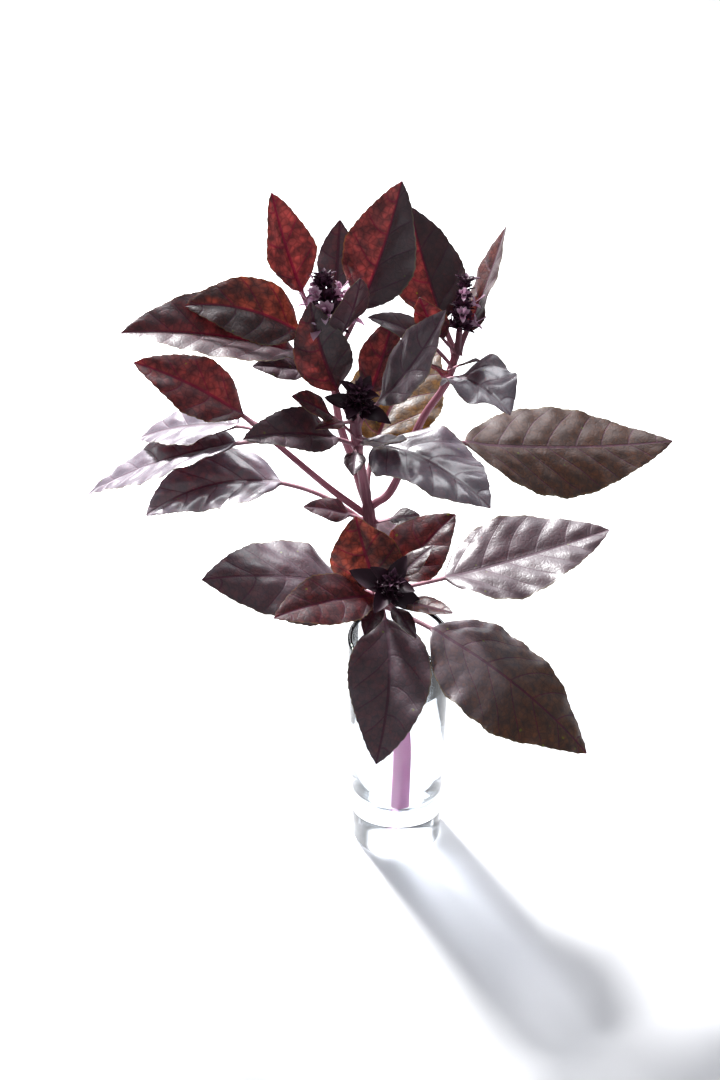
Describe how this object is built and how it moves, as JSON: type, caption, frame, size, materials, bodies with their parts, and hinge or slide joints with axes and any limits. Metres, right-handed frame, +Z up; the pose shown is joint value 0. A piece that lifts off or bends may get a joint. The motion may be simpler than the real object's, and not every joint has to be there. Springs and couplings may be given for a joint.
{
  "type": "purple basil sprig in a glass of water",
  "caption": "Flowering sprig of purple basil, its cut stem standing in water in a slim heavy-based drinking glass.",
  "frame": {"origin": "centre of the glass's underside", "axes": "+Z up along the glass's axis, -Y towards the side the sprig faces, +X to its right"},
  "size_m": [0.2235, 0.1024, 0.2896],
  "materials": {
    "glass": "gloss",
    "water": "gloss",
    "stem": "satin",
    "leaf": "satin",
    "flower_head": "satin"
  },
  "bodies": {
    "root": {"glass": "glass", "water": "water", "main_stem": "stem", "front_shoot": "stem", "left_top_branch": "stem", "left_branch": "stem", "right_branch": "stem", "low_left_leaf": "leaf", "low_front_leaf": "leaf", "low_right_front_leaf": "leaf", "low_right_back_leaf": "leaf", "low_back_leaf": "leaf", "shoot_back_leaf": "leaf", "shoot_left_leaf": "leaf", "shoot_far_leaf": "leaf", "shoot_right_leaf": "leaf", "shoot_upper_right_leaf": "leaf", "shoot_low_right_leaf": "leaf", "shoot_low_left_leaf": "leaf", "node_left_leaf": "leaf", "node_right_leaf": "leaf", "left_petiole_leaf": "leaf", "left_far_leaf": "leaf", "left_back_leaf": "leaf", "left_red_leaf": "leaf", "top_left_tall_leaf": "leaf", "top_left_back_leaf": "leaf", "top_left_orange_leaf": "leaf", "top_left_dark_leaf": "leaf", "top_red_leaf": "leaf", "top_grey_leaf": "leaf", "left_small_leaf": "leaf", "right_tall_leaf": "leaf", "right_tall_front_leaf": "leaf", "right_far_leaf": "leaf", "right_cross_leaf": "leaf", "right_curled_leaf": "leaf", "right_big_leaf": "leaf", "right_small_left_leaf": "leaf", "right_small_right_leaf": "leaf", "centre_grey_leaf": "leaf", "centre_back_leaf": "leaf", "centre_left_leaf": "leaf", "centre_dark_leaf": "leaf", "centre_small_leaf": "leaf", "centre_bract_leaf": "leaf", "centre_white_leaf": "leaf", "centre_olive_leaf": "leaf", "centre_pale_leaf": "leaf", "centre_low_leaf": "leaf", "front_flower_head": "flower_head", "centre_flower_head": "flower_head", "left_flower_head": "flower_head", "right_flower_head": "flower_head"}
  },
  "joints": []
}
